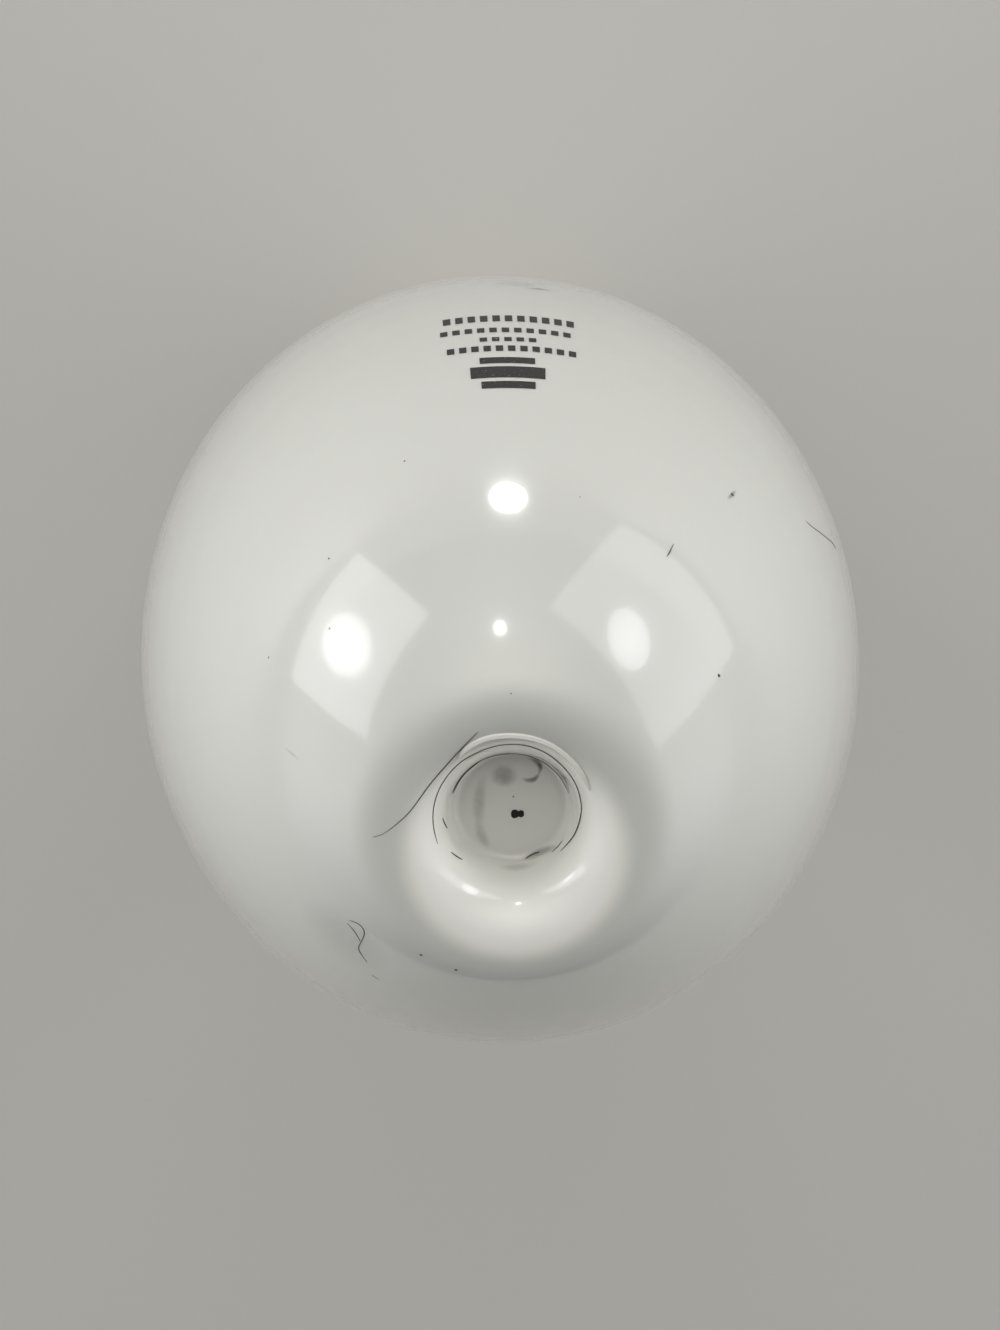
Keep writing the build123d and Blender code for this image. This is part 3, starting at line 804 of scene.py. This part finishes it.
def on_glass(pixel):
    """The point of the bulb's outer skin that the camera sees at a pixel, and its normal."""
    right, up = (pixel[0] - frame_width / 2) / focal_pixels, (frame_height / 2 - pixel[1]) / focal_pixels
    ray = (camera_right * right + camera_up * up - camera_back).normalized()
    point, normal, _, _ = glass_surface.ray_cast(camera_place, ray)
    return point, normal


# Printed mark: black ink stamped on the dome, a little broken where it has been rubbed.
# It is rows of plain dashes and three bars, which follow the glass and run round it.
ink, ink_tree, ink_shader = finish("stamp_ink", Base_Color=(0.018, 0.018, 0.018, 1))
ink_place = node(ink_tree, "ShaderNodeTexCoord")
ink_break = node(ink_tree, "ShaderNodeTexNoise", {"Scale": 2400.0, "Detail": 3.0, "Roughness": 0.7})
ink_mask = node(ink_tree, "ShaderNodeMapRange", {"From Min": 0.30, "From Max": 0.36})
ink_rough = node(ink_tree, "ShaderNodeMapRange", {"To Min": 0.35, "To Max": 0.6})
join(
    ink_tree,
    (ink_place.outputs["Object"], ink_break.inputs["Vector"]),
    (ink_break.outputs["Fac"], ink_mask.inputs["Value"]),
    (ink_mask.outputs["Result"], ink_shader.inputs["Alpha"]),
    (ink_break.outputs["Fac"], ink_rough.inputs["Value"]),
    (ink_rough.outputs["Result"], ink_shader.inputs["Roughness"]),
)
ink_lift = 0.03
dash, dash_gap = 1.15, 0.75
stamp_lines = (
    (156.9, 159.1, 74.6, 96.4),
    (161.4, 162.9, 75.2, 95.8),
    (164.5, 165.7, 80.6, 89.4),
    (167.0, 168.5, 74.4, 96.2),
)
stamp_bars = [(170.2, 171.7, 80.9, 89.6), (172.5, 175.1, 79.3, 91.2), (175.9, 177.4, 80.9, 89.6)]
for low, high, first, last in stamp_lines:
    for index in range(round((last - first) / (dash + dash_gap))):
        left = first + index * (dash + dash_gap)
        stamp_bars.append((low, high, left, left + dash))
stamp = bmesh.new()
for low, high, first, last in stamp_bars:
    bar = profile(*bulb_skin(-ink_lift)[2:4])
    for height, keeps_above in ((low, True), (high, False)):
        bmesh.ops.bisect_plane(
            bar,
            geom=bar.verts[:] + bar.edges[:],
            plane_co=(0, 0, height * mm),
            plane_no=(0, 0, 1),
            clear_inner=keeps_above,
            clear_outer=not keeps_above,
        )
    bmesh.ops.rotate(bar, cent=(0, 0, 0), matrix=Matrix.Rotation(radians(first), 3, "Z"), verts=bar.verts[:])
    bmesh.ops.spin(
        bar,
        geom=bar.verts[:] + bar.edges[:],
        cent=(0, 0, 0),
        axis=(0, 0, 1),
        angle=radians(last - first),
        steps=max(3, round(last - first)),
    )
    strip = bpy.data.meshes.new("strip")
    bar.to_mesh(strip)
    bar.free()
    stamp.from_mesh(strip)
    bpy.data.meshes.remove(strip)
bmesh.ops.recalc_face_normals(stamp, faces=stamp.faces[:])
for face in stamp.faces:
    middle = face.calc_center_median()
    if face.normal.x * middle.x + face.normal.y * middle.y < 0:
        face.normal_flip()
piece("stamp_ink", stamp, "coated_glass", [ink])


# Lint, specks and painted shade: hairs and dust lie on the glass, and the dark threads in the creases round
# the dimple are painted shade.
# They are fine tubes and flat drops on the skin, placed by their pixels.
# Its dark tones serve both the lint and the painted shade of the creases.
lint_and_painted_shade, lint_tree, lint_shader = finish("lint_and_painted_shade", Roughness=0.7)
mottled(lint_tree, lint_shader, (0.030, 0.027, 0.021, 1), (0.155, 0.145, 0.120, 1), Scale=700.0)

long_hair = (
    (478, 732), (468, 742), (456.5, 754), (443, 769), (430, 784), (418, 801), (409, 813), (397, 824),
    (381, 836), (373, 837),
)
short_hair = ((806, 521), (810.5, 526), (818.5, 531.5), (826.5, 538), (833, 543), (836, 549))
short_hair_twig = ((830, 536), (832, 533))
fibre_loop = (
    (349, 920.5), (357, 922), (364, 929), (364.6, 935), (361, 942), (358, 948), (361, 954), (367, 962),
)
fibre_tail = ((347, 923), (353, 929), (358, 936.5), (360, 941))
fibre_scrap = ((372, 975), (375, 977.5), (379, 979))
# Painted shade: dark threads along the creases of the dimple's mouth stand in for dark lines of shade and
# refraction in the glass.
outer_crease_painted_shade = (
    (437.6, 844.0), (434.4, 833.0), (432.7, 820.5), (433.3, 807.6), (437.9, 790.9), (448.1, 774.3),
    (461.0, 761.3), (477.6, 752.1), (492.4, 746.6), (509.1, 744.0), (525.7, 745.1), (540.5, 749.9),
    (553.4, 757.6), (564.5, 767.8), (573.8, 779.8), (579.3, 792.8), (581.9, 807.6), (580.3, 819.6),
    (575.3, 833.8), (567.3, 844.2), (560.5, 851.0),
)
inner_crease_painted_shade = (
    (452.7, 793.2), (455.5, 786.3), (461.9, 776.2), (471.2, 766.9), (481.4, 759.9), (494.3, 755.5),
    (509.1, 753.4), (523.9, 754.5), (536.8, 758.6), (547.9, 765.1), (557.2, 773.4), (563.6, 781.7),
    (568.6, 793.2),
)
# Painted shade: dark marks round the foot of the dimple stand in for dark lines of refraction there.
right_painted_shade = ((562.5, 840.5), (557.5, 847.5), (552, 852))
left_painted_shade = ((442.5, 817.8), (444, 823.5), (447.2, 828))
lower_left_painted_shade = ((450.9, 852), (456, 856.5), (462, 859.4))
lower_right_painted_shade = ((525.7, 858.5), (533.1, 852.9), (539.6, 852))
dome_fleck = ((673.5, 544), (670, 551.5), (666.5, 557))
dome_fleck_core = ((671, 549.5), (669.5, 552.5), (668, 555))
strands = (
    (0.11, long_hair),
    (0.12, short_hair),
    (0.07, short_hair_twig),
    (0.10, fibre_loop),
    (0.10, fibre_tail),
    (0.07, fibre_scrap),
    (0.09, outer_crease_painted_shade),
    (0.12, outer_crease_painted_shade[-5:]),
    (0.07, inner_crease_painted_shade),
    (0.16, inner_crease_painted_shade[:5]),
    (0.12, right_painted_shade),
    (0.20, left_painted_shade),
    (0.20, lower_left_painted_shade),
    (0.22, lower_right_painted_shade),
    (0.14, dome_fleck),
    (0.22, dome_fleck_core),
)
specks = (
    (0.45, (732.4, 494.7)), (0.36, (719, 675.6)), (0.22, (404.6, 461)), (0.20, (328.8, 558.5)),
    (0.18, (329.5, 628.4)), (0.20, (268.6, 657.6)), (0.14, (511, 693.5)), (0.14, (580, 497)),
    (0.30, (421, 955)), (0.32, (456, 970)), (0.16, (513.4, 796.6)),
)
strand_lift, strand_tip = 0.01, 0.45
speck_height = 0.08
drop_waver, drop_ripple = 0.2, 0.3


def lay(shape, thickness, pixels):
    """Lays a fine thread of a thickness in millimetres on the glass, along pixels."""
    curve = bpy.data.curves.new("strand", "CURVE")
    curve.dimensions = "3D"
    curve.bevel_depth = thickness / 2 * mm
    curve.bevel_resolution = 1
    spline = curve.splines.new("NURBS")
    spline.points.add(len(pixels) - 1)
    for index, (point, pixel) in enumerate(zip(spline.points, pixels)):
        spot, normal = on_glass(pixel)
        point.co = (*(spot + normal * strand_lift * mm), 1)
        point.radius = strand_tip if index in (0, len(pixels) - 1) else 1.0
    spline.order_u = 3
    spline.use_endpoint_u = True
    spline.resolution_u = 6
    holder = bpy.data.objects.new("strand", curve)
    tube = bpy.data.meshes.new_from_object(holder)
    shape.from_mesh(tube)
    bpy.data.objects.remove(holder)
    bpy.data.curves.remove(curve)
    bpy.data.meshes.remove(tube)


dirt_and_painted_shade = bmesh.new()
for thickness, pixels in strands:
    lay(dirt_and_painted_shade, thickness, pixels)


def drop(shape, pixel, wide, high):
    """Adds a flat, uneven drop on the glass at a pixel, of a width and height in millimetres."""
    spot, normal = on_glass(pixel)
    made = bmesh.ops.create_icosphere(shape, subdivisions=3, radius=0.5 * mm)["verts"]
    for vert in made:
        vert.co *= 1 + drop_waver * noise.noise(vert.co / (drop_ripple * mm) + spot / mm)
    bmesh.ops.scale(shape, vec=(wide, wide, high), verts=made)
    bmesh.ops.rotate(shape, cent=(0, 0, 0), matrix=normal.to_track_quat("Z", "Y").to_matrix(), verts=made)
    bmesh.ops.translate(shape, vec=spot, verts=made)


for width, pixel in specks:
    drop(dirt_and_painted_shade, pixel, width, speck_height)
piece("lint_dust_and_painted_shade", dirt_and_painted_shade, "coated_glass", [lint_and_painted_shade])


# Mouth bead: the glass gathers to a low rounded ridge where the dimple was pressed in.
# Its near-white, paler than the dome, is a painted highlight, and the thin glint beside it is a painted
# glint. It follows the mouth by its pixels.
bead_painted_highlight, bead_tree, bead_shader = finish(
    "bead_painted_highlight", IOR=1.5, Specular_IOR_Level=1.0, Roughness=0.15, Coat_Weight=1.0, Coat_Roughness=0.03
)
# Painted highlight: the bead's near-white tones.
mottled(bead_tree, bead_shader, (0.950, 0.945, 0.900, 1), (0.995, 0.990, 0.960, 1), Scale=300.0)
mouth_bead = (
    (459, 757), (463, 751.5), (470, 745.5), (481, 739.5), (495, 736), (512, 735), (530, 737), (547, 742.5),
    (562, 751.5), (575, 763.5), (585, 778), (590, 790),
)
# Painted glint: a thin pale thread beside the bead stands in for a glint of light.
mouth_glint = ((466.5, 760), (473, 756.2), (480, 753.2), (487, 751.4))
bead_width, glint_width = 0.66, 0.26
beads = bmesh.new()
lay(beads, bead_width, mouth_bead)
lay(beads, glint_width, mouth_glint)
piece("mouth_bead", beads, "coated_glass", [bead_painted_highlight])


# Burnt spot: a fleck of soot in two lobes, baked on the floor of the dimple.
# It is flat drops that run together on the skin.
soot, soot_tree, soot_shader = finish("soot", Roughness=0.6)
mottled(soot_tree, soot_shader, (0.006, 0.006, 0.005, 1), (0.026, 0.025, 0.021, 1), Scale=3500.0)
soot_lobes = (
    (0.74, (514.6, 812.9)), (0.76, (514.8, 814.8)), (0.66, (517.9, 813.8)),
    (0.58, (521.2, 812.8)), (0.62, (521.1, 814.4)),
)
soot_height = 0.12
burnt = bmesh.new()
for width, pixel in soot_lobes:
    drop(burnt, pixel, width, soot_height)
piece("soot_spot", burnt, "coated_glass", [soot])


# Smears: thin grime wiped over the glass, mostly on the dimple's floor, and dry rubbed streaks on the dome.
# Each is a film on the skin that fades out at its edges and breaks up in the wiping.
film, film_tree, film_shader = finish("film", Roughness=0.75, Base_Color=(0.075, 0.072, 0.060, 1))
film_place = node(film_tree, "ShaderNodeTexCoord")
film_cover = node(film_tree, "ShaderNodeAttribute", attribute_name="cover")
film_break = node(film_tree, "ShaderNodeTexNoise", {"Scale": 1500.0, "Detail": 4.0, "Roughness": 0.6})
film_worn = node(film_tree, "ShaderNodeMapRange", {"From Min": 0.25, "From Max": 0.75, "To Min": 0.45})
film_left = node(film_tree, "ShaderNodeMath", operation="MULTIPLY")
join(
    film_tree,
    (film_place.outputs["Object"], film_break.inputs["Vector"]),
    (film_break.outputs["Fac"], film_worn.inputs["Value"]),
    (film_cover.outputs["Fac"], film_left.inputs[0]),
    (film_worn.outputs["Result"], film_left.inputs[1]),
    (film_left.outputs["Value"], film_shader.inputs["Alpha"]),
)
film_lift, film_fade = 0.025, 1.2
smears = (
    ((526, 757), (546, 762), (538, 775), 6.5, 0.85),
    ((540, 771), (535, 785), (521, 778), 6.0, 0.75),
    ((490, 775), (504, 777), (518, 775), 24.0, 0.42),
    ((484, 772), (476, 806), (480, 828), 15.0, 0.26),
    ((478, 818), (478, 836), (491, 848), 12.0, 0.26),
    # These two films run along the lower edge of the dimple's floor and make it darker towards that corner.
    ((521, 862), (540, 850), (560, 846), 10.0, 0.40),
    ((497, 866), (517, 871), (540, 862), 8.0, 0.22),
    ((525, 288), (539, 289), (553, 291), 2.2, 0.45),
    ((489, 283), (520, 284), (548, 286), 5.0, 0.14),
    ((284, 747), (291, 752), (300, 761), 3.0, 0.25),
    ((727, 500), (732, 495), (736, 490), 5.0, 0.5),
    ((300, 895), (345, 940), (392, 968), 46.0, 0.10),
)
wiped = bmesh.new()
cover = wiped.verts.layers.float.new("cover")
for first, bend, last, width, strength in smears:
    first, bend, last = Vector(first), Vector(bend), Vector(last)
    for vert in bmesh.ops.create_grid(wiped, x_segments=28, y_segments=10, size=1.0)["verts"]:
        along, across = (vert.co.x + 1) / 2, vert.co.y
        middle = first * (1 - along) ** 2 + bend * 2 * along * (1 - along) + last * along**2
        way = ((bend - first) * (1 - along) + (last - bend) * along).normalized()
        spot, normal = on_glass(middle + Vector((-way.y, way.x)) * across * width / 2)
        vert[cover] = strength * max(0.0, 1 - across**2 - vert.co.x**2) ** film_fade
        vert.co = spot + normal * film_lift * mm
bare = [face for face in wiped.faces if not any(vert[cover] for vert in face.verts)]
bmesh.ops.delete(wiped, geom=bare, context="FACES")
piece("wiped_smears", wiped, "coated_glass", [film])


# Floor and light: a plain pale floor, a softbox each side above the crown, and a room lit from both sides.
# Each softbox has a brighter middle, in three discs that add up. Two small lamps give the round glints.
floor_tone, _, _ = finish("floor_tone", Roughness=0.85, Base_Color=(0.58, 0.57, 0.55, 1))
floor_reach = 2.5
floor_shape = bmesh.new()
bmesh.ops.create_grid(floor_shape, x_segments=1, y_segments=1, size=floor_reach)
floor_mesh = bpy.data.meshes.new("floor")
floor_shape.to_mesh(floor_mesh)
floor_shape.free()
floor_mesh.materials.append(floor_tone)
floor = bpy.data.objects.new("floor", floor_mesh)
bpy.context.scene.collection.objects.link(floor)

crown = Vector((0, 0, 0.200))


def from_camera(right, up, back):
    """A direction given as right, up and towards the camera."""
    return (camera_right * right + camera_up * up + camera_back * back).normalized()


def lamp(name, shape, direction, along, distance, wide, tall, radiance, back=None):
    """An area light with its width along a direction and an even radiance.

    It faces the crown, or away from a direction behind it.
    """
    way, edge, behind = from_camera(*direction), from_camera(*along), from_camera(*(back or direction))
    across = (edge - behind * edge.dot(behind)).normalized()
    light = bpy.data.lights.new(name, "AREA")
    light.shape = shape
    light.size, light.size_y = wide, tall
    light.energy = radiance * pi * wide * tall * (1 if shape == "RECTANGLE" else pi / 4)
    made = bpy.data.objects.new(name, light)
    facing = Matrix((across, behind.cross(across), behind)).transposed()
    made.matrix_world = Matrix.Translation(crown + way * distance) @ facing.to_4x4()
    bpy.context.scene.collection.objects.link(made)
    return made


left_softbox, left_edge, left_back = (-0.812, 0.534, 0.236), (0.595, -0.356, 0.720), (-0.654, 0.305, 0.691)
right_softbox, right_edge, right_back = (0.735, 0.654, 0.179), (0.505, -0.840, -0.199), (0.664, 0.231, 0.711)
lamp(
    "left_softbox", "RECTANGLE", left_softbox, left_edge,
    distance=0.66, wide=0.42, tall=0.50, radiance=1.20, back=left_back,
)
lamp(
    "right_softbox", "RECTANGLE", right_softbox, right_edge,
    distance=0.53, wide=0.52, tall=0.44, radiance=0.76, back=right_back,
)
left_core, right_core, upright = (-0.829, 0.499, 0.253), (0.685, 0.605, 0.405), (0, 1, 0)
for disc, share, radiance in (("outer", 1.0, 1.7), ("middle", 0.8, 2.5), ("inner", 0.6, 4.3)):
    lamp(
        f"left_core_{disc}", "ELLIPSE", left_core, upright,
        distance=0.79, wide=0.23 * share, tall=0.25 * share, radiance=radiance,
    )
    lamp(
        f"right_core_{disc}", "ELLIPSE", right_core, upright,
        distance=0.69, wide=0.22 * share, tall=0.18 * share, radiance=radiance,
    )
ring_way, small_way, level = (0.011, 0.999, 0.052), (-0.047, 0.764, 0.643), (1, 0, 0)
ring_lamp = lamp(
    "ring_lamp", "ELLIPSE", ring_way, level, distance=0.60, wide=0.10, tall=0.085, radiance=9.0
)
small_lamp = lamp(
    "small_lamp", "ELLIPSE", small_way, level, distance=1.2, wide=0.10, tall=0.10, radiance=8.0
)
ring_lamp.visible_diffuse = small_lamp.visible_diffuse = False
room = bpy.data.worlds.new("room")
room.use_nodes = True
room_tree = room.node_tree
sky = room_tree.nodes["Background"]
room_place = node(room_tree, "ShaderNodeTexCoord")
room_ray = node(room_tree, "ShaderNodeLightPath")
room_light = (
    ((0, 0.46, 0.89), 8.0, 1.48, 0.6, (1.0, 0.96, 0.88)),
    ((0, 0.90, 0.43), 8.0, 0.28, 0.7, (1.0, 1.0, 1.0)),
    ((-0.98, -0.12, 0.14), 5.0, 2.25, 0.3, (1.0, 1.0, 0.98)),
    ((0.98, -0.12, 0.14), 5.0, 2.12, 0.3, (1.0, 1.0, 0.98)),
)
lit = node(room_tree, "ShaderNodeCombineXYZ")
for direction, spread, strength, in_gloss, tone in room_light:
    towards = node(room_tree, "ShaderNodeVectorMath", {1: from_camera(*direction)}, operation="DOT_PRODUCT")
    ahead = node(room_tree, "ShaderNodeMath", {1: 0.0}, operation="MAXIMUM")
    narrowed = node(room_tree, "ShaderNodeMath", {1: spread}, operation="POWER")
    dimmed = node(room_tree, "ShaderNodeMath", {1: in_gloss - 1, 2: 1.0}, operation="MULTIPLY_ADD")
    seen = node(room_tree, "ShaderNodeMath", operation="MULTIPLY")
    glow = node(room_tree, "ShaderNodeVectorMath", {0: Vector(tone) * strength}, operation="SCALE")
    added = node(room_tree, "ShaderNodeVectorMath", operation="ADD")
    join(
        room_tree,
        (room_place.outputs["Generated"], towards.inputs[0]),
        (towards.outputs["Value"], ahead.inputs[0]),
        (ahead.outputs["Value"], narrowed.inputs[0]),
        (room_ray.outputs["Is Glossy Ray"], dimmed.inputs[0]),
        (narrowed.outputs["Value"], seen.inputs[0]),
        (dimmed.outputs["Value"], seen.inputs[1]),
        (seen.outputs["Value"], glow.inputs["Scale"]),
        (glow.outputs["Vector"], added.inputs[0]),
        (lit.outputs["Vector"], added.inputs[1]),
    )
    lit = added
join(room_tree, (lit.outputs["Vector"], sky.inputs["Color"]))
bpy.context.scene.world = room
bpy.context.scene.view_settings.view_transform = "Standard"
